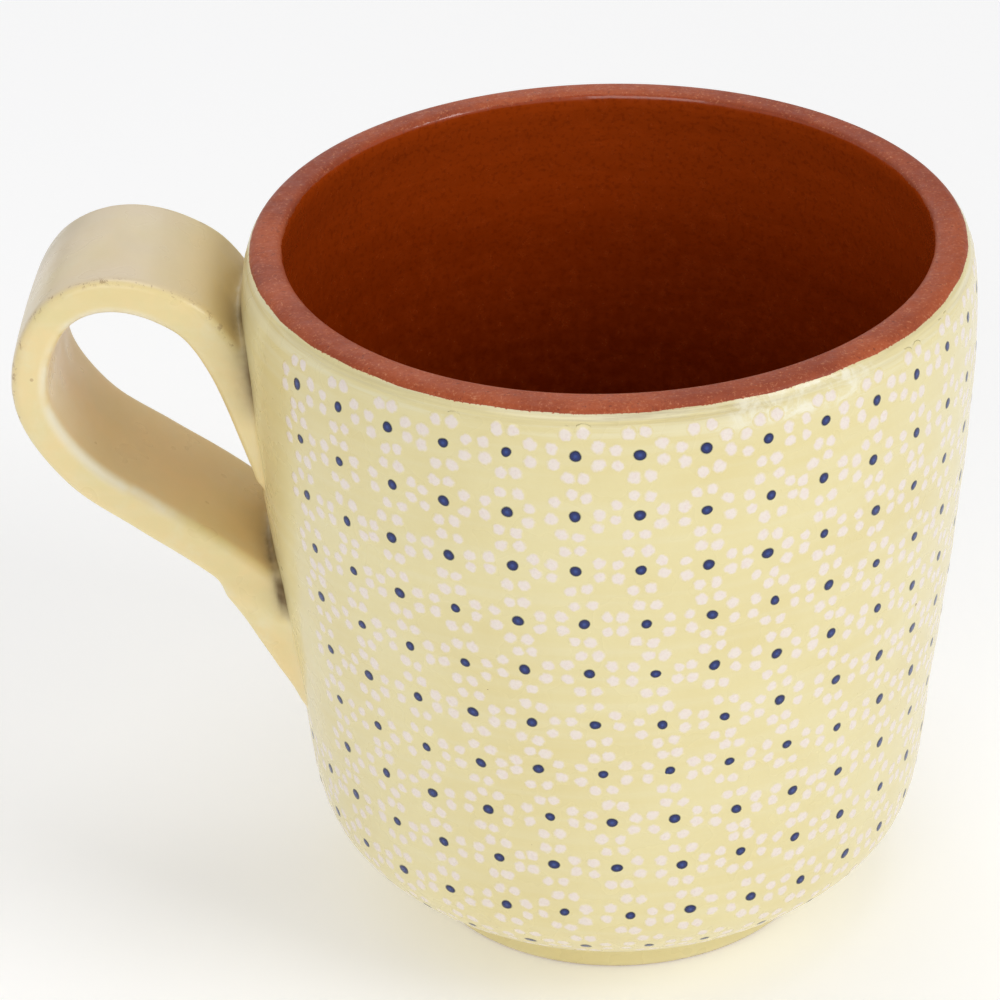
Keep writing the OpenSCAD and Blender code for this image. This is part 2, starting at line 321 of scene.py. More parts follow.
def handle_slip_paint():
    paint = Paint("handle_slip")
    colour = slip_ground(paint)
    cloudy = paint.noise(120, detail=5, rough=0.6, warp=0.4)
    colour = paint.mix(paint.band(cloudy, 0.25, 0.75, 0.15, 0.85), colour, SLIP_WARM)
    light = paint.noise(190, detail=4, rough=0.65)
    colour = paint.mix(paint.band(light, 0.5, 0.85, 0.0, 0.6), colour, SLIP_LIGHT)
    top = paint.attribute("outer_face")
    by_wall = paint.band(paint.axis("X"), -60 * MM, -47 * MM, 0.0, 0.75)
    colour = paint.mix(paint.math("MULTIPLY", top, by_wall), colour, SLIP_OCHRE)
    # painted reflection: the strap's top face turns greyish beige with the sheen of the light behind, less so
    # near the wall
    away = paint.band(paint.axis("X"), -47 * MM, -60 * MM, 0.15, 1.0)
    top_sheen = paint.math("MULTIPLY", paint.band(paint.noise(70, detail=3), 0.2, 0.7, 0.45, 0.95), away)
    top_sheen = paint.math("MULTIPLY", top, top_sheen)
    colour = paint.mix(top_sheen, colour, SHEEN_BEIGE)
    olive = paint.band(paint.noise(75, detail=4, warp=0.6, scale=(1, 0.5, 1)), 0.44, 0.72)
    left_end = paint.math("MULTIPLY", top, paint.band(paint.axis("X"), -62 * MM, -70 * MM, 0.15, 0.7))
    colour = paint.mix(paint.math("MULTIPLY", olive, left_end), colour, SLIP_OLIVE)
    # painted shade: the loop's inner face, shadowed by the arch above, is darker tan
    inner = paint.attribute("inner_face")
    colour = paint.mix(paint.math("MULTIPLY", inner, 0.45), colour, SHADE_TAN)
    # painted highlight: a white glint of the key light along the near inner edge of the loop
    in_loop = paint.band(paint.axis("X"), -50 * MM, -60 * MM)
    inner_glint = paint.math("MULTIPLY", paint.attribute("inner_arris"), in_loop)
    inner_glint = paint.math("MULTIPLY", inner_glint, paint.band(paint.noise(160, detail=3), 0.35, 0.6))
    colour = paint.mix(paint.math("MULTIPLY", inner_glint, 0.85), colour, HIGHLIGHT_WHITE)
    flecks = paint.band(paint.noise(850, detail=5, rough=0.75), 0.54, 0.62)
    worn = paint.math("MULTIPLY", paint.attribute("arris"), flecks)
    colour = paint.mix(paint.math("MULTIPLY", worn, 0.9), colour, IRON)
    # darker olive-brown in the creases where the handle joins the wall
    blotches = paint.band(paint.noise(260), 0.2, 0.7, 0.5, 1.0)
    crease_dark = paint.math("MULTIPLY", paint.attribute("crevice"), blotches)
    crease_dark = paint.math("MULTIPLY", crease_dark, paint.band(paint.axis("Y"), 2 * MM, -9 * MM, 0.4, 1.0))
    colour = paint.mix(crease_dark, colour, CREASE_DARK)
    rough = paint.band(paint.noise(160, detail=2), 0.3, 0.7, 0.26, 0.40)
    rough = paint.math("ADD", rough, paint.math("MULTIPLY", crease_dark, 0.4), clamp=True)
    dents = paint.bump(paint.noise(80, detail=2), 0.35 * MM)
    normal = paint.bump(paint.noise(380, detail=3), 0.05 * MM, dents)
    return paint.finish(colour, rough, normal, Coat_Weight=0.14, Coat_Roughness=0.16, IOR=1.5)


def clay_ground(paint):
    """Red earthenware: darker patches, pale grains and grit. Returns the colour and the grit."""
    patches = paint.noise(90, detail=4, rough=0.6)
    colour = paint.mix(paint.band(patches, 0.3, 0.7), TERRACOTTA_DARK, TERRACOTTA)
    grit = paint.noise(2600, detail=3, rough=0.7)
    colour = paint.mix(paint.band(grit, 0.54, 0.70, 0.0, 0.75), colour, TERRACOTTA_LIGHT)
    colour = paint.mix(paint.band(grit, 0.46, 0.28, 0.0, 0.8), colour, TERRACOTTA_DARK)
    pits = paint.band(paint.noise(1500, detail=4, rough=0.75), 0.60, 0.68, 0.0, 0.7)
    return paint.mix(pits, colour, TERRACOTTA_DEEP), grit


def clay_paint(name, shine):
    """Bare clay; shine is how much thin glaze lies on it."""
    paint = Paint(name)
    colour, grit = clay_ground(paint)
    rough = paint.band(paint.noise(700, detail=3), 0.3, 0.7, 0.62 - 0.20 * shine, 0.8 - 0.2 * shine)
    coarse = paint.bump(paint.noise(900, detail=3, rough=0.6), 0.10 * MM)
    normal = paint.bump(grit, 0.05 * MM, coarse)
    return paint.finish(colour, rough, normal, Coat_Weight=0.08 * shine, Coat_Roughness=0.3,
                        Specular_IOR_Level=0.35)


def interior_paint():
    paint = Paint("interior_glaze")
    z = paint.axis("Z")
    mottle = paint.noise(620, detail=4, rough=0.6)
    # darker towards the bottom and more orange towards the lip: partly painted shade and light, partly the
    # glaze's varying depth
    colour = paint.mix(paint.band(z, 30 * MM, 86 * MM), GLAZE_DARK, GLAZE_RED)
    near_lip = paint.band(z, 70 * MM, 93 * MM, 0.0, 0.7)
    colour = paint.mix(near_lip, colour, GLAZE_ORANGE)
    colour = paint.mix(paint.band(mottle, 0.35, 0.75, 0.0, 0.28), colour, GLAZE_ORANGE)
    colour = paint.mix(paint.band(paint.noise(1700, detail=2), 0.5, 0.3, 0.0, 0.3), colour, GLAZE_DARK)
    # the glaze starts unevenly at the lip's inner edge, over bare clay
    clay, _ = clay_ground(paint)
    uneven = paint.band(paint.noise(800, detail=3, rough=0.7), 0.2, 0.8, -0.4, 0.4)
    bare = paint.band(paint.math("ADD", paint.attribute("bare"), uneven), 0.35, 0.65)
    colour = paint.mix(bare, colour, clay)
    rings = paint.bump(paint.noise(30, detail=2, scale=(1, 1, 9)), 0.25 * MM)
    wobble = paint.math("MULTIPLY", paint.noise(210, detail=2), paint.band(z, 78 * MM, 90 * MM, 0.15, 1.0))
    normal = paint.bump(paint.noise(900, detail=3), 0.015 * MM, paint.bump(wobble, 0.35 * MM, rings))
    rough = paint.band(mottle, 0.3, 0.7, 0.16, 0.28)
    rough = paint.math("ADD", rough, paint.math("MULTIPLY", bare, 0.3))
    coat = paint.math("SUBTRACT", paint.band(z, 84 * MM, 92 * MM, 0.06, 0.7), bare, clamp=True)
    paint.put(paint.shader.inputs["Coat Weight"], coat)
    return paint.finish(colour, rough, normal, Coat_Roughness=0.08, IOR=1.4)


def pale_dot_paint():
    """Pale slip that fades into the yellow at its rim."""
    paint = Paint("pale_dot")
    uneven = paint.band(paint.noise(1500, detail=2), 0.2, 0.8, -0.14, 0.14)
    out = paint.math("ADD", paint.attribute("out"), uneven)
    colour = paint.mix(paint.band(paint.noise(2400, detail=2), 0.40, 0.75, 0.0, 0.45), DOT_PALE, DOT_PINK)
    colour = paint.mix(paint.band(out, 0.50, 0.88), colour, slip_ground(paint))
    rough = paint.band(paint.noise(900), 0.3, 0.7, 0.24, 0.34)
    return paint.finish(colour, rough, slip_bump(paint), Coat_Weight=0.25, Coat_Roughness=0.12, IOR=1.5)


def blue_dot_paint():
    """Cobalt slip with a darker rim, that has bled a little into the yellow round it."""
    paint = Paint("blue_dot")
    uneven = paint.band(paint.noise(900, detail=1), 0.2, 0.8, -0.03, 0.03)
    out = paint.math("ADD", paint.attribute("out"), uneven)
    colour = paint.mix(paint.band(out, 0.0, 0.45), DOT_BLUE_LIGHT, DOT_BLUE)
    colour = paint.mix(paint.band(out, 0.50, 0.72), colour, DOT_BLUE_DEEP)
    bled = paint.mix(paint.band(out, 0.78, 1.0), DOT_HALO, slip_ground(paint))
    colour = paint.mix(paint.band(out, 0.74, 0.82), colour, bled)
    rough = paint.band(paint.noise(900), 0.3, 0.7, 0.18, 0.3)
    normal = paint.bump(paint.noise(900, detail=2), 0.03 * MM)
    return paint.finish(colour, rough, normal, Coat_Weight=0.2, Coat_Roughness=0.06, IOR=1.45)


# ---------------------------------------------------------------- meshes

def make_piece(name, verts, faces, material, replaced, attributes=None):
    """One visible piece from arrays. Every piece of the mug rides on its only body."""
    mesh = bpy.data.meshes.new(name)
    mesh.from_pydata(np.asarray(verts).tolist(), [], [tuple(int(i) for i in f) for f in faces])
    mesh.validate()
    mesh.polygons.foreach_set("use_smooth", [True] * len(mesh.polygons))
    for key, values in (attributes or {}).items():
        mesh.attributes.new(key, "FLOAT", "POINT").data.foreach_set("value", np.asarray(values, np.float32))
    mesh.materials.append(material)
    mesh.update()
    piece = bpy.data.objects.new(name, mesh)
    bpy.context.scene.collection.objects.link(piece)
    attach(piece, "root")
    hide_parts(*replaced)


def points_of(node):
    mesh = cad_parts[node].data
    flat = np.zeros(len(mesh.vertices) * 3, np.float32)
    mesh.vertices.foreach_get("co", flat)
    return flat.reshape(-1, 3).astype(float)


def turned_points(node):
    """The different (radius, height) pairs of a turned node, on the side away from the handle."""
    p = points_of(node)
    p = p[p[:, 0] > 0]
    return np.unique(np.round(np.c_[np.hypot(p[:, 0], p[:, 1]), p[:, 2]], 6), axis=0)


def without(points, others, near=0.02 * MM):
    """The points that aren't among the others."""
    gap = np.hypot(points[:, None, 0] - others[None, :, 0], points[:, None, 1] - others[None, :, 1])
    return points[gap.min(1) > near]


def smooth_line(points, spread):
    """A line through the points, resampled evenly and eased over the given spread."""
    points = points[np.r_[True, np.hypot(*np.diff(points, axis=0).T) > 1e-6]]
    along = np.r_[0, np.cumsum(np.hypot(*np.diff(points, axis=0).T))]
    count = int(along[-1] / FINE_STEP) + 1
    even = np.linspace(0, along[-1], count)
    line = np.c_[np.interp(even, along, points[:, 0]), np.interp(even, along, points[:, 1])]
    reach = int(3 * spread / FINE_STEP)
    weight = np.exp(-0.5 * (np.arange(-reach, reach + 1) * FINE_STEP / spread) ** 2)
    weight /= weight.sum()
    start = 2 * line[0] - line[reach:0:-1]
    end = 2 * line[-1] - line[-2:-reach - 2:-1]
    padded = np.vstack([start, line, end])
    return np.c_[np.convolve(padded[:, 0], weight, "valid"), np.convolve(padded[:, 1], weight, "valid")]


# The cup's lines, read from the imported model
clay_rings = turned_points("clay_cup")
slip_rings = without(turned_points("cup_slip_coat"), clay_rings)
glaze_rings = without(turned_points("interior_glaze"), clay_rings)
TOP = clay_rings[:, 1].max()
lip_middle = clay_rings[clay_rings[:, 1] > TOP - 0.01 * MM][:, 0].mean()
lip_outer = clay_rings[clay_rings[:, 1] > TOP - 2.3 * MM][:, 0].max()
LIP_HALF = lip_outer - lip_middle

FOOT_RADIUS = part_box("foot_ring")[1].x
FOOT_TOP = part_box("foot_ring")[1].z
SLIP_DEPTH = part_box("cup_slip_coat")[1].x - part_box("clay_cup")[1].x
FOOT_WIDTH = 5.8 * MM
FOOT_RECESS = 2.4 * MM
FOOT_SLOPE = 2.2 * MM        # how far the ring's inner top corner slopes into the recess
FOOT_EDGE = 0.7 * MM         # radius of the ring's edges
GLAZE_DEPTH = 0.3 * MM
SLIP_BACK = 0.6 * MM         # how far the slip skin's hidden side lies inside its front
LIP_REACH = 4.0 * MM         # the steps are fine this near to the lip
LIP_FLAT_OUTSIDE = 2.8       # powers of the lip's two quarter curves; 2 is a circle
LIP_FLAT_INSIDE = 5.0


def lip_arc(start, end, flat, steps=24):
    """The lip's crown from one angle to another, flatter on top than a half circle."""
    a = np.linspace(start, end, steps)
    c, s = np.cos(a), np.sin(a)
    x = np.sign(c) * np.abs(c) ** (2 / flat)
    z = np.abs(s) ** (2 / flat)
    return np.c_[lip_middle + x * LIP_HALF, TOP - LIP_HALF + z * LIP_HALF]


slip_rings = slip_rings[(slip_rings[:, 1] > 4.2 * MM) & (slip_rings[:, 1] < TOP - LIP_HALF - 1.0 * MM)]
slip_side = smooth_line(slip_rings[np.argsort(slip_rings[:, 1])], 1.2 * MM)
glaze_rings = glaze_rings[np.argsort(np.arctan2(glaze_rings[:, 0], TOP - glaze_rings[:, 1]))]
glaze_side = smooth_line(glaze_rings[::-1], 1.5 * MM)
glaze_side = glaze_side[glaze_side[:, 1] < TOP - LIP_HALF - 0.5 * MM]
outer_arc = lip_arc(0, math.pi / 2, LIP_FLAT_OUTSIDE)
inner_arc = lip_arc(math.pi / 2, math.pi, LIP_FLAT_INSIDE)
# the clay's outer line, from the foot to the crown of the lip
OUTSIDE = smooth_line(np.vstack([slip_side - [SLIP_DEPTH, 0], outer_arc]), 0.3 * MM)
# the inside, from the crown of the lip to the middle of the floor
INSIDE = smooth_line(np.vstack([inner_arc, glaze_side]), 0.2 * MM)


def lengths_of(line):
    return np.r_[0, np.cumsum(np.hypot(*np.diff(line, axis=0).T))]


def normals_of(line):
    """Unit normals to the right of the line's direction."""
    d = np.gradient(line, axis=0)
    return np.c_[d[:, 1], -d[:, 0]] / np.hypot(*d.T)[:, None]


OUTSIDE_AT, OUTSIDE_NORMAL = lengths_of(OUTSIDE), normals_of(OUTSIDE)
INSIDE_AT, INSIDE_NORMAL = lengths_of(INSIDE), normals_of(INSIDE)
SLIP_EDGE = OUTSIDE_AT[np.argmax(OUTSIDE[:, 1] > TOP - 0.55 * MM)]
GLAZE_EDGE = INSIDE_AT[np.argmax(INSIDE[:, 1] < TOP - 0.45 * MM)]


def thinned(line):
    """The line with fewer points away from the lip."""
    keep = (line[:, 1] > TOP - LIP_REACH) | (np.arange(len(line)) % COARSE == 0)
    keep[[0, -1]] = True
    return line[keep]


def steps_from(lip, end):
    """Distances from the lip's end of a line to its other end, close together near the lip."""
    way = 1 if end > lip else -1
    fine = np.arange(0, LIP_REACH, FINE_STEP)
    coarse = np.arange(LIP_REACH, abs(end - lip), COARSE * FINE_STEP)
    return lip + way * np.r_[fine, coarse, abs(end - lip)]


def along(line, at, normal, distance, lift):
    """Radius and height at a distance along a line, lifted off it."""
    r = np.interp(distance, at, line[:, 0]) + lift * np.interp(distance, at, normal[:, 0])
    z = np.interp(distance, at, line[:, 1]) + lift * np.interp(distance, at, normal[:, 1])
    return r, z


def eased_step(value):
    """0 to 1, level at both ends."""
    value = np.clip(value, 0, 1)
    return value * value * (3 - 2 * value)


def out_of_round(angle, height):
    """How far the hand-thrown wall stands inside its true circle."""
    lean = 0.10 * np.cos(2 * angle + 0.6) + 0.07 * np.cos(3 * angle - 1.1 + height * 12)
    ripple = 0.04 * np.sin(height * 2 * math.pi / (13 * MM) + 2.0 * np.cos(angle))
    return (lean + ripple - 0.2) * MM


def shaped(radius, height, angle):
    """A turned point with the small faults of a thrown cup, as x, y, z: the wall stands a little in from
    its true circle, and the front is lower than the back. The faults fade out at the axis and the foot."""
    share = np.clip(radius / (40 * MM), 0, 1) ** 2 * np.clip(height / (10 * MM), 0, 1)
    r = radius + out_of_round(angle, height) * share
    dip = 0.65 * MM * np.clip((height - 15 * MM) / (75 * MM), 0, 1) * (0.5 - 0.5 * np.sin(angle)) ** 2
    return np.stack([r * np.cos(angle), r * np.sin(angle), height - dip + 0 * angle], -1)


ANGLES = np.linspace(-math.pi, math.pi, AROUND, endpoint=False)


def grid_faces(rows, columns):
    """Quads of a grid whose columns close into a ring."""
    i = np.arange(rows - 1)[:, None] * columns + np.arange(columns)[None, :]
    j = np.arange(rows - 1)[:, None] * columns + (np.arange(columns)[None, :] + 1) % columns
    return np.stack([i, j, j + columns, i + columns], -1).reshape(-1, 4)


def turned_faces(outline):
    """A turned solid from a closed outline that is drawn anticlockwise in (radius, height)."""
    outline = np.asarray(outline)
    rows = len(outline)
    verts = shaped(outline[:, 0, None], outline[:, 1, None], ANGLES[None, :]).reshape(-1, 3)
    faces = grid_faces(rows + 1, AROUND) % (rows * AROUND)
    return verts, faces


def weld_poles(verts, faces):
    """Joins the vertices that lie on the axis, and drops the faces that this flattens.
    Returns vertices, faces and where each vertex stood in the given array."""
    on_axis = np.hypot(verts[:, 0], verts[:, 1]) < 1e-7
    keys = np.where(on_axis, -1 - np.round(verts[:, 2] * 1e6).astype(int), np.arange(len(verts)))
    _, first, back = np.unique(keys, return_index=True, return_inverse=True)
    welded = []
    for face in back[faces]:
        ring = [v for k, v in enumerate(face) if v != face[k - 1]]
        if len(ring) >= 3:
            welded.append(ring)
    return verts[first], welded, first


def solid_skin(front, back):
    """Vertices and faces of a closed skin between two grids of the same size, each closed round the cup."""
    rows = len(front)
    verts = np.vstack([front.reshape(-1, 3), back[::-1].reshape(-1, 3)])
    faces = grid_faces(2 * rows, AROUND)
    last = np.arange(AROUND) + (2 * rows - 1) * AROUND
    first = np.arange(AROUND)
    closing = np.stack([last, np.roll(last, -1), np.roll(first, -1), first], -1)
    return verts, np.vstack([faces, closing])


def make_cup():
    below = thinned(OUTSIDE[OUTSIDE[:, 1] > FOOT_TOP + 0.3 * MM])
    sunk = 0.15 * MM * eased_step((INSIDE_AT - GLAZE_EDGE - 0.6 * MM) / (3 * MM))
    above = thinned(INSIDE - INSIDE_NORMAL * sunk[:, None])
    behind_ring = FOOT_RADIUS * 0.9
    outline = np.vstack([[[0, FOOT_RECESS], [behind_ring, FOOT_RECESS]], below, above[1:]])
    outline[-1, 0] = 0
    verts, faces = turned_faces(outline)
    verts, faces, _ = weld_poles(verts, faces)
    make_piece("clay_cup_wall", verts, faces, clay_paint("cup_clay", 1.0), ["clay_cup"])


def make_interior():
    s = steps_from(GLAZE_EDGE - 0.8 * MM, INSIDE_AT[-1])[:, None] + 0 * ANGLES[None, :]
    wander = (0.10 * np.sin(7 * ANGLES) + 0.08 * np.sin(17 * ANGLES + 1) + 0.06 * np.sin(41 * ANGLES)) * MM
    # the glaze reaches higher at the back of the lip
    edge = GLAZE_EDGE + wander - 0.35 * MM * (0.5 + 0.5 * np.sin(ANGLES)) ** 2
    bare = np.clip(1 - (s - edge) / (0.5 * MM), 0, 1)
    lift = 0.05 * MM * eased_step((s - s[0]) / (0.6 * MM)) - 0.03 * MM
    front = shaped(*along(INSIDE, INSIDE_AT, INSIDE_NORMAL, s, lift), ANGLES[None, :])
    back = shaped(*along(INSIDE, INSIDE_AT, INSIDE_NORMAL, s, lift - GLAZE_DEPTH), ANGLES[None, :])
    front[-1, :, :2] = 0
    back[-1, :, :2] = 0
    verts, faces = solid_skin(front, back)
    verts, faces, kept = weld_poles(verts, faces)
    bare = np.concatenate([bare.ravel(), np.ones(bare.size)])[kept]
    make_piece("interior_glaze_lining", verts, faces, interior_paint(), ["interior_glaze"],
               {"bare": bare})


def make_foot():
    r0, r1, edge = FOOT_RADIUS - FOOT_WIDTH, FOOT_RADIUS, FOOT_EDGE
    a = np.linspace(0, math.pi / 2, 6)
    inner = np.c_[r0 + edge - edge * np.cos(a), edge - edge * np.sin(a)]
    outer = np.c_[r1 - edge + edge * np.sin(a), edge - edge * np.cos(a)]
    upper = [[r1, FOOT_TOP], [r0 + FOOT_SLOPE, FOOT_RECESS], [r0, FOOT_RECESS]]
    outline = np.vstack([inner, outer, upper])
    verts, faces = turned_faces(outline)
    make_piece("foot_ring_clay", verts, faces, clay_paint("foot_clay", 0.1), ["foot_ring"])


# ---------------------------------------------------------------- handle

# The middle of the strap from its upper root to its lower one, as (distance from the axis, height) in mm
STRAP_MIDDLE = [(42.2, 69.0), (48.7, 83.6), (54.4, 88.8), (61.6, 90.5), (67.9, 87.9), (71.6, 81.0),
                (71.4, 73.4), (66.3, 65.4), (58.6, 59.5), (50.7, 53.7), (41.0, 45.4)]
# The tail that is smeared down the wall under the lower root: place and half thickness, mm
TAIL = [(47.4, 47.6, 1.6), (43.9, 42.6, 2.4), (41.2, 36.5, 1.9), (39.6, 32.0, 1.0)]
# Clay worked under the upper root
CORNER = [(46.0, 77.5, 1.2), (44.6, 71.5, 1.5), (43.4, 65.0, 1.2)]
VOXEL = 0.36 * MM
HANDLE_LOW = np.array([-76.5, -13.5, 28.5]) * MM
HANDLE_HIGH = np.array([-39.0, 13.5, 95.5]) * MM
STRAP_HALF_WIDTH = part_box("handle_slip_coat")[1].y
STRAP_THICKNESS = 4.1        # of the clay at its thinnest, mm
STRAP_ROOT_EXTRA = 1.2       # how much thicker it gets towards its roots, mm
STRAP_THINNEST = 0.475       # share of the strap's length at which it is thinnest
STRAP_SWELL = 1.5            # how quickly it thickens from there, as a power
STRAP_SLIP = 0.42 * MM


def catmull(points, steps=12):
    """A smooth line through every point."""
    p = np.asarray(points, float)
    p = np.vstack([2 * p[0] - p[1], p, 2 * p[-1] - p[-2]])
    t = np.linspace(0, 1, steps, endpoint=False)[:, None]
    parts = [0.5 * (2 * b + (c - a) * t + (2 * a - 5 * b + 4 * c - d) * t ** 2
                    + (3 * b - a - 3 * c + d) * t ** 3)
             for a, b, c, d in zip(p[:-3], p[1:-2], p[2:-1], p[3:])]
    return np.vstack(parts + [p[-2:-1]])


def near_line(x, z, line):
    """For each point: its distance to the line, how far along the line that is (0 to 1), and its side."""
    best = np.full(x.shape, 1e9)
    share = np.zeros(x.shape)
    side = np.zeros(x.shape)
    count = len(line) - 1
    for k in range(count):
        a, d = line[k], line[k + 1] - line[k]
        t = np.clip(((x - a[0]) * d[0] + (z - a[1]) * d[1]) / (d @ d), 0, 1)
        ox, oz = x - a[0] - t * d[0], z - a[1] - t * d[1]
        gap = np.hypot(ox, oz)
        closer = gap < best
        best = np.where(closer, gap, best)
        share = np.where(closer, (k + t) / count, share)
        side = np.where(closer, np.sign(d[0] * oz - d[1] * ox), side)
    return best, share, side


def strap_half(share):
    """Half the strap's thickness with its slip: thinnest in the loop, thicker at both roots."""
    extra = STRAP_ROOT_EXTRA * np.abs(2 * share - 2 * STRAP_THINNEST) ** STRAP_SWELL
    return (STRAP_THICKNESS + extra) / 2 * MM + STRAP_SLIP


def rounded_box(across, over, edge):
    """Distance to a box with rounded edges, given how far a point is past each of its two faces."""
    qa, qo = across + edge, over + edge
    return np.hypot(np.maximum(qa, 0), np.maximum(qo, 0)) + np.minimum(np.maximum(qa, qo), 0) - edge


def blend_min(a, b, reach):
    """The smaller of two distances, with a fillet where they are nearly equal."""
    h = np.maximum(reach - np.abs(a - b), 0) / reach
    return np.minimum(a, b) - h * h * reach * 0.25


def wall_radius(height, angle):
    r = np.interp(height, OUTSIDE[:, 1], OUTSIDE[:, 0])
    return r + SLIP_DEPTH + out_of_round(angle, height)


STRAP_LINE = catmull(STRAP_MIDDLE) * MM


def strap_distance(x, y, z):
    """Distance to the strap's surface, and the place across its thickness: -1 inside the loop, 1 outside."""
    gap, share, side = near_line(-x, z, STRAP_LINE)
    half = strap_half(share)
    width = STRAP_HALF_WIDTH - 0.25 * MM + 0.2 * MM * np.sin(share * 9.0)
    drift = 0.25 * MM * np.sin(share * 5.0 + 1.0)
    crown = 1 - 0.10 * (y / STRAP_HALF_WIDTH) ** 2
    return rounded_box(gap - half * crown, np.abs(y - drift) - width, 1.25 * MM), side * gap / half


def lump_distance(x, y, z, line, width):
    """Distance to a lump of clay with a varying half thickness that is smeared along a line."""
    line = np.asarray(line) * MM
    gap, share, _ = near_line(-x, z, line[:, :2])
    half = np.interp(share, np.linspace(0, 1, len(line)), line[:, 2])
    return rounded_box(gap - half, np.abs(y) - width, 0.9 * MM)


def handle_distance(x, y, z):
    strap, _ = strap_distance(x, y, z)
    tail = lump_distance(x, y, z, TAIL, STRAP_HALF_WIDTH - 0.5 * MM)
    corner = lump_distance(x, y, z, CORNER, STRAP_HALF_WIDTH - 0.4 * MM)
    return blend_min(blend_min(strap, tail, 3.0 * MM), corner, 2.0 * MM)


def wall_distance(x, y, z):
    return np.hypot(x, y) - wall_radius(z, np.arctan2(y, x))


def surface_nets(field, low, step):
    """A quad mesh of the field's zero level, one vertex per crossed cell."""
    inside = field < 0
    shape = np.array(field.shape) - 1
    total = np.zeros((*shape, 3))
    count = np.zeros(shape)
    crossings = []
    for axis in range(3):
        first = [slice(None)] * 3
        second = [slice(None)] * 3
        first[axis], second[axis] = slice(None, -1), slice(1, None)
        a, b = field[tuple(first)], field[tuple(second)]
        cut = inside[tuple(first)] != inside[tuple(second)]
        at = np.argwhere(cut)
        share = a[cut] / (a[cut] - b[cut])
        place = at.astype(float)
        place[:, axis] += share
        crossings.append((axis, at, inside[tuple(first)][cut]))
        others = [k for k in range(3) if k != axis]
        for du in (0, 1):
            for dv in (0, 1):
                cell = at.copy()
                cell[:, others[0]] -= du
                cell[:, others[1]] -= dv
                ok = ((cell >= 0) & (cell < shape)).all(1)
                np.add.at(total, tuple(cell[ok].T), place[ok])
                np.add.at(count, tuple(cell[ok].T), 1)
    used = count > 0
    index = np.full(shape, -1)
    index[used] = np.arange(used.sum())
    verts = total[used] / count[used][:, None] * step + low
    faces = []
    for axis, at, starts_inside in crossings:
        u, v = [k for k in range(3) if k != axis]
        corners = []
        for du, dv in ((1, 1), (0, 1), (0, 0), (1, 0)):
            cell = at.copy()
            cell[:, u] -= du
            cell[:, v] -= dv
            corners.append(index[tuple(cell.T)])
        quad = np.stack(corners, -1)
        turn = starts_inside if axis != 1 else ~starts_inside
        quad[~turn] = quad[~turn][:, ::-1]
        faces.append(quad)
    return verts, np.vstack(faces)


def eased(verts, faces, rounds, pull=0.5):
    """Laplacian smoothing over the quads' edges."""
    edges = np.unique(np.sort(np.vstack([faces[:, [k, (k + 1) % 4]] for k in range(4)]), axis=1), axis=0)
    degree = np.bincount(edges.ravel(), minlength=len(verts))[:, None]
    for _ in range(rounds):
        total = np.zeros_like(verts)
        np.add.at(total, edges[:, 0], verts[edges[:, 1]])
        np.add.at(total, edges[:, 1], verts[edges[:, 0]])
        verts = verts + pull * (total / degree - verts)
    return verts


def lower_corner(height):
    """1 in the corner between the strap's lower root and the wall, easing to 0 above and below it."""
    return np.clip((height - 44 * MM) / (3 * MM), 0, 1) * np.clip((60 * MM - height) / (6 * MM), 0, 1)


def make_handle():
    counts = np.ceil((HANDLE_HIGH - HANDLE_LOW) / VOXEL).astype(int)
    xs, ys, zs = (HANDLE_LOW[k] + np.arange(counts[k]) * VOXEL for k in range(3))
    x, z = np.meshgrid(xs, zs, indexing="ij")
    field = np.empty(counts)
    for j, y in enumerate(ys):
        body = handle_distance(x, y, z)
        wall = wall_distance(x, y, z)
        joined = blend_min(body, wall + 0.12 * MM, 1.8 * MM)
        joined = np.maximum(joined, -(wall + 1.6 * MM))
        field[:, j, :] = np.maximum(joined, body - 3.2 * MM)
    # the grid's faces count as outside, so that the surface is closed
    field[0], field[-1] = 1.0 * MM, 1.0 * MM
    field[:, 0], field[:, -1] = 1.0 * MM, 1.0 * MM
    field[:, :, 0], field[:, :, -1] = 1.0 * MM, 1.0 * MM
    verts, faces = surface_nets(field, HANDLE_LOW, VOXEL)
    verts = eased(verts, faces, 3)
    body, side = strap_distance(verts[:, 0], verts[:, 1], verts[:, 2])
    wall = wall_distance(verts[:, 0], verts[:, 1], verts[:, 2])
    out_from_middle = np.abs(verts[:, 1])
    on_face = np.clip((STRAP_HALF_WIDTH - 0.7 * MM - out_from_middle) / (0.5 * MM), 0, 1)
    on_face *= np.clip(1 - body / (0.6 * MM), 0, 1)
    over = np.clip((side - 0.45) / 0.35, 0, 1) * on_face
    under = np.clip((-side - 0.45) / 0.35, 0, 1) * on_face
    on_edge = np.clip(1 - np.abs(out_from_middle - STRAP_HALF_WIDTH + 1.0 * MM) / (0.6 * MM), 0, 1)
    arris = on_edge * np.clip(1 - np.abs(side - 0.75) / 0.25, 0, 1)
    inner_edge = np.clip(1.3 - np.abs(out_from_middle - STRAP_HALF_WIDTH + 0.5 * MM) / (1.0 * MM), 0, 1)
    inner_arris = inner_edge * np.clip(1.3 - np.abs(side + 0.9) / 0.4, 0, 1) * (verts[:, 1] < 0)
    upper_corner = np.clip((verts[:, 2] - 72 * MM) / (6 * MM), 0, 1)
    crevice = np.exp(-np.maximum(wall, 0) / (1.5 * MM)) * upper_corner
    crevice += np.exp(-np.maximum(wall - 0.8 * MM, 0) / (0.5 * MM)) * lower_corner(verts[:, 2])
    make_piece("handle_slip_skin", verts, faces, handle_slip_paint(),
               ["handle_slip_coat", "handle_strap", "upper_handle_lute", "lower_handle_lute"],
               {"outer_face": over, "inner_face": under, "arris": arris, "inner_arris": inner_arris,
                "crevice": crevice})


# ---------------------------------------------------------------- slip coat and dots

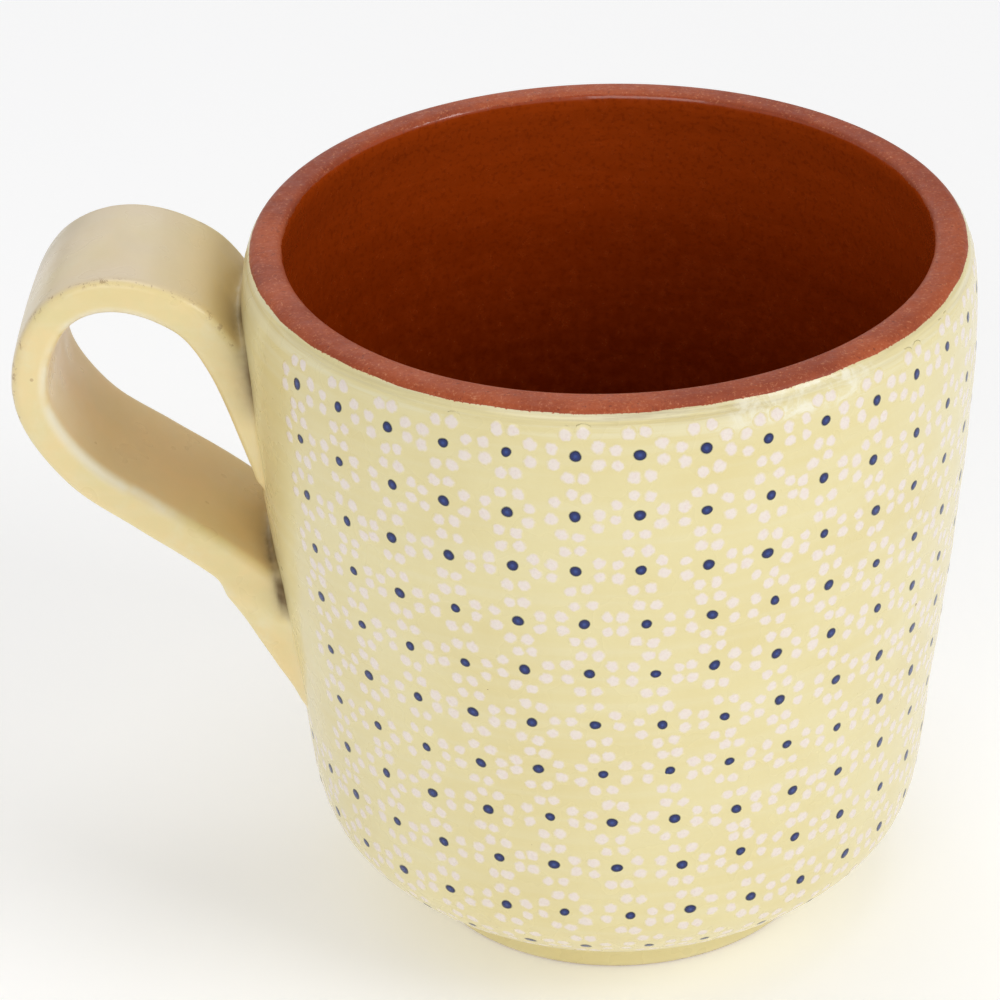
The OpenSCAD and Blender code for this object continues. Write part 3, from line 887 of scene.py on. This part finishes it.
def ragged(angle):
    """How far the slip's upper edge wanders, round the lip."""
    waves = 0.06 * np.sin(5 * angle + 1) + 0.05 * np.sin(13 * angle) + 0.04 * np.sin(37 * angle + 2)
    return waves * MM


def slip_lift(distance, edge):
    """The slip's thickness at a distance along the clay's outer line. It dives in at its edge."""
    room = edge - distance
    thinning, bead = eased_step(room / (3.0 * MM)), eased_step(room / (0.8 * MM))
    return SLIP_DEPTH * thinning + 0.04 * MM * bead - 0.03 * MM


def make_slip_coat():
    edge = SLIP_EDGE + ragged(ANGLES)
    rows = steps_from(SLIP_EDGE, 0)[::-1] / SLIP_EDGE
    s = rows[:, None] * (edge + 0.3 * MM)[None, :]
    radius, height = along(OUTSIDE, OUTSIDE_AT, OUTSIDE_NORMAL, s, slip_lift(s, edge))
    # the straight side of the foot, below the wall
    foot_height = np.linspace(0.3 * MM, height[0, 0] - 0.4 * MM, 12)[:, None] + 0 * ANGLES[None, :]
    foot_radius = np.full_like(foot_height, FOOT_RADIUS + SLIP_DEPTH)
    foot_radius[0] -= 0.15 * MM
    radius = np.vstack([foot_radius, radius])
    height = np.vstack([foot_height, height])
    worn = np.vstack([np.zeros_like(foot_height), np.clip(1 - (edge - s) / (0.8 * MM), 0, 1)])
    front = shaped(radius, height, ANGLES[None, :])
    back = shaped(radius - SLIP_BACK, np.minimum(height, TOP - 0.9 * MM), ANGLES[None, :])
    verts, faces = solid_skin(front, back)
    away = strap_distance(verts[:, 0], verts[:, 1], verts[:, 2])[0]
    upper_corner = np.clip((verts[:, 2] - 70 * MM) / (8 * MM), 0, 1)
    crevice = np.exp(-np.maximum(away, 0) / (1.0 * MM)) * upper_corner
    crevice += np.exp(-np.maximum(away - 0.9 * MM, 0) / (0.5 * MM)) * lower_corner(verts[:, 2])
    worn = np.concatenate([worn.ravel(), np.zeros(worn.size)])
    make_piece("cup_slip_skin", verts, faces, cup_slip_paint(), ["cup_slip_coat"],
               {"edge": worn, "crevice": crevice})


BLUE_RADIUS = 0.84 * MM       # with the bled rim; the blue itself ends at three quarters of it
PALE_RADIUS = 1.06 * MM       # with the soft rim
STRAY_DOT = (math.radians(-80.5), 41.3 * MM, 0.4 * MM)      # azimuth, height, radius
RING_RADIUS = 2.92 * MM
PAIR_HALF_ANGLE = math.radians(20)
PALE_PIECES = 6              # the pale dots are shared out among this many pieces, from the top down
DOT_SEED = 12
DOWN_WANDER = 0.2            # most that a blue dot stands off the CAD's down the wall, mm
ROUND_WANDER = 0.3           # and round the wall, mm


def islands(node):
    """The middle of each separate solid of a node."""
    points = points_of(node)
    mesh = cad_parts[node].data
    keys, back = np.unique(np.round(points, 7), axis=0, return_inverse=True)
    back = back.ravel()
    parent = np.arange(len(keys))
    pairs = np.zeros(len(mesh.edges) * 2, np.int32)
    mesh.edges.foreach_get("vertices", pairs)
    pairs = back[pairs.reshape(-1, 2)]
    while True:
        low = np.minimum(parent[pairs[:, 0]], parent[pairs[:, 1]])
        before = parent.copy()
        np.minimum.at(parent, pairs[:, 0], low)
        np.minimum.at(parent, pairs[:, 1], low)
        parent = parent[parent]
        if (parent == before).all():
            break
    groups, index = np.unique(parent, return_inverse=True)
    low = np.full((len(groups), 3), 1e9)
    high = np.full((len(groups), 3), -1e9)
    np.minimum.at(low, index, keys)
    np.maximum.at(high, index, keys)
    return (low + high) / 2


def dot_mesh(places, height, rng, spokes=16, uneven=0.09):
    """Low domes at (azimuth, distance along the clay's outer line, radius), each a little out of round.
    Returns vertices, faces and "out", which runs from 0 at a dot's middle to 1 at its rim."""
    share = np.array([0.5, 0.78, 1.0])
    rise = np.array([0.85, 0.42, -0.4])
    skirt = 1.2
    phi = np.linspace(0, 2 * math.pi, spokes, endpoint=False)
    ring = np.r_[0, np.repeat(share, spokes)]
    spoke = np.arange(spokes)
    after = (spoke + 1) % spokes
    rim = slice(1 + (len(share) - 1) * spokes, None)
    verts, faces, out = [], [], []
    for azimuth, middle, radius in places:
        size = radius * rng.uniform(0.9, 1.1)
        oval, turn = rng.uniform(0, uneven), rng.uniform(0, math.pi)
        third, twist = rng.uniform(0, uneven * 0.4), rng.uniform(0, math.pi)
        outline = size * (1 + oval * np.cos(2 * (phi - turn)) + third * np.cos(3 * (phi - twist)))
        dx = np.r_[0, (share[:, None] * outline * np.cos(phi)).ravel()]
        dy = np.r_[0, (share[:, None] * outline * np.sin(phi)).ravel()]
        up = np.r_[1.0, np.repeat(rise, spokes)] * height
        s = middle + dy
        skin = slip_lift(s, SLIP_EDGE)
        r, z = along(OUTSIDE, OUTSIDE_AT, OUTSIDE_NORMAL, s, skin + up)
        first = len(out)
        verts.append(shaped(r, z, azimuth + dx / r))
        r, z = along(OUTSIDE, OUTSIDE_AT, OUTSIDE_NORMAL, middle + skirt * dy[rim], skin[rim] - 0.06 * MM)
        verts.append(shaped(r, z, azimuth + skirt * dx[rim] / r))
        out.extend([*ring, *([1.0] * spokes)])
        faces += [(first, first + 1 + a, first + 1 + b) for a, b in zip(spoke, after)]
        for level in range(len(share)):
            low = first + 1 + level * spokes
            faces += [(low + a, low + a + spokes, low + b + spokes, low + b) for a, b in zip(spoke, after)]
        faces.append(tuple(first + 1 + len(share) * spokes + spoke[::-1]))
    return np.vstack(verts), faces, out


def ring_places(azimuth, middle, rng):
    """The eight pale dots round a blue one: four pairs, above, below and at both sides."""
    turn = rng.normal(0, math.radians(5))
    radius = np.interp(middle, OUTSIDE_AT, OUTSIDE[:, 0]) + SLIP_DEPTH
    places = []
    for quarter in range(4):
        for side in (-1, 1):
            a = quarter * math.pi / 2 + side * PAIR_HALF_ANGLE + turn + rng.normal(0, math.radians(2.2))
            reach = RING_RADIUS * rng.uniform(0.95, 1.05)
            places.append((azimuth + reach * math.cos(a) / radius, middle + reach * math.sin(a), PALE_RADIUS))
    return places


def make_dots():
    rng = np.random.default_rng(DOT_SEED)
    middles = islands("blue_dots")
    middles = middles[np.lexsort((middles[:, 1], middles[:, 0], -np.round(middles[:, 2], 3)))]
    blue = []
    for x, y, z in middles:
        s = np.interp(z, OUTSIDE[:, 1], OUTSIDE_AT) + rng.uniform(-DOWN_WANDER, DOWN_WANDER) * MM
        turn = rng.uniform(-ROUND_WANDER, ROUND_WANDER) * MM / (45 * MM)
        blue.append((math.atan2(y, x) + turn, s, BLUE_RADIUS))
    rings = [ring_places(azimuth, s, rng) for azimuth, s, _ in blue]
    azimuth, height, radius = STRAY_DOT
    blue.append((azimuth, np.interp(height, OUTSIDE[:, 1], OUTSIDE_AT), radius))
    verts, faces, out = dot_mesh(blue, 0.06 * MM, rng)
    make_piece("blue_slip_dots", verts, faces, blue_dot_paint(), ["blue_dots"], {"out": out})
    material = pale_dot_paint()
    for k, some in enumerate(np.array_split(np.arange(len(rings)), PALE_PIECES)):
        places = [place for i in some for place in rings[i]]
        verts, faces, out = dot_mesh(places, 0.04 * MM, rng, spokes=14)
        make_piece(f"pale_slip_dots_{k + 1}", verts, faces, material, ["pale_dots"], {"out": out})


make_camera()
make_studio()
make_cup()
make_interior()
make_foot()
make_slip_coat()
make_handle()
make_dots()
